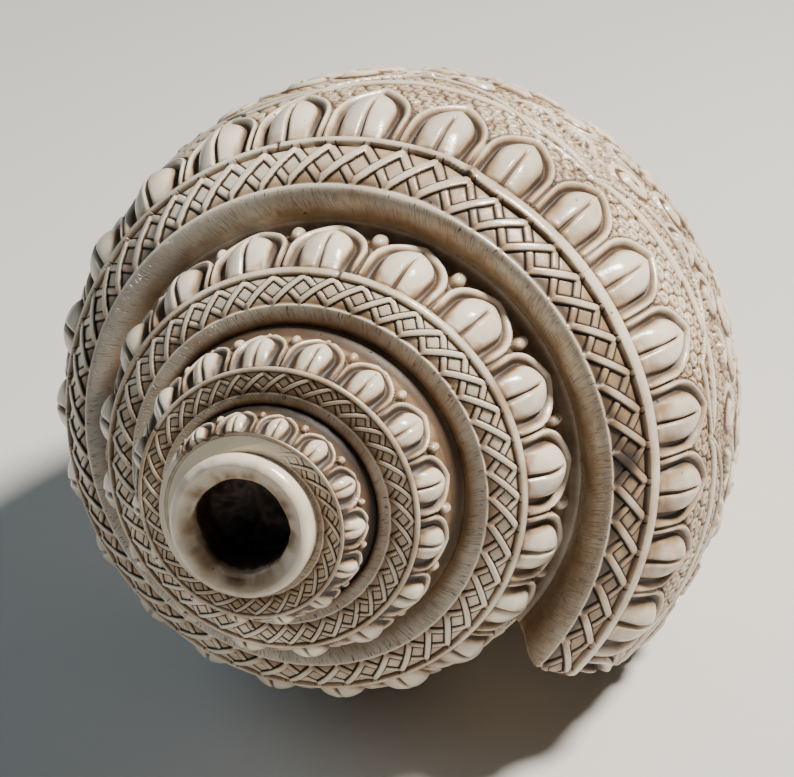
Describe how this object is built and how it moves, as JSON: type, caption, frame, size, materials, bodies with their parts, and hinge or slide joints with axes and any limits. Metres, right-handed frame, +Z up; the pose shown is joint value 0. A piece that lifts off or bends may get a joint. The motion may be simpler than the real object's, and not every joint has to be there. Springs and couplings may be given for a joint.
{
  "type": "carved conch shell",
  "caption": "Conch shell trumpet with a sawn blow hole, carved along its spiral with ledges, a lattice band, a cord, lotus petals, beads and scrolls.",
  "frame": {"origin": "centre of the bounding box in X and Y, on the surface that the shell lies on", "axes": "+Z up; +Y along the shell, seen from above, from the blow hole to the siphonal canal; +X to the right as seen from the blow hole end. The shell's own axis rises 15.7 degrees towards the blow hole"},
  "size_m": [0.1024, 0.1642, 0.0929],
  "materials": {
    "carved_shell": "polished shell, ivory and grey, with warm brown in the carving"
  },
  "bodies": {
    "root": {"shell": "carved_shell"}
  },
  "joints": []
}
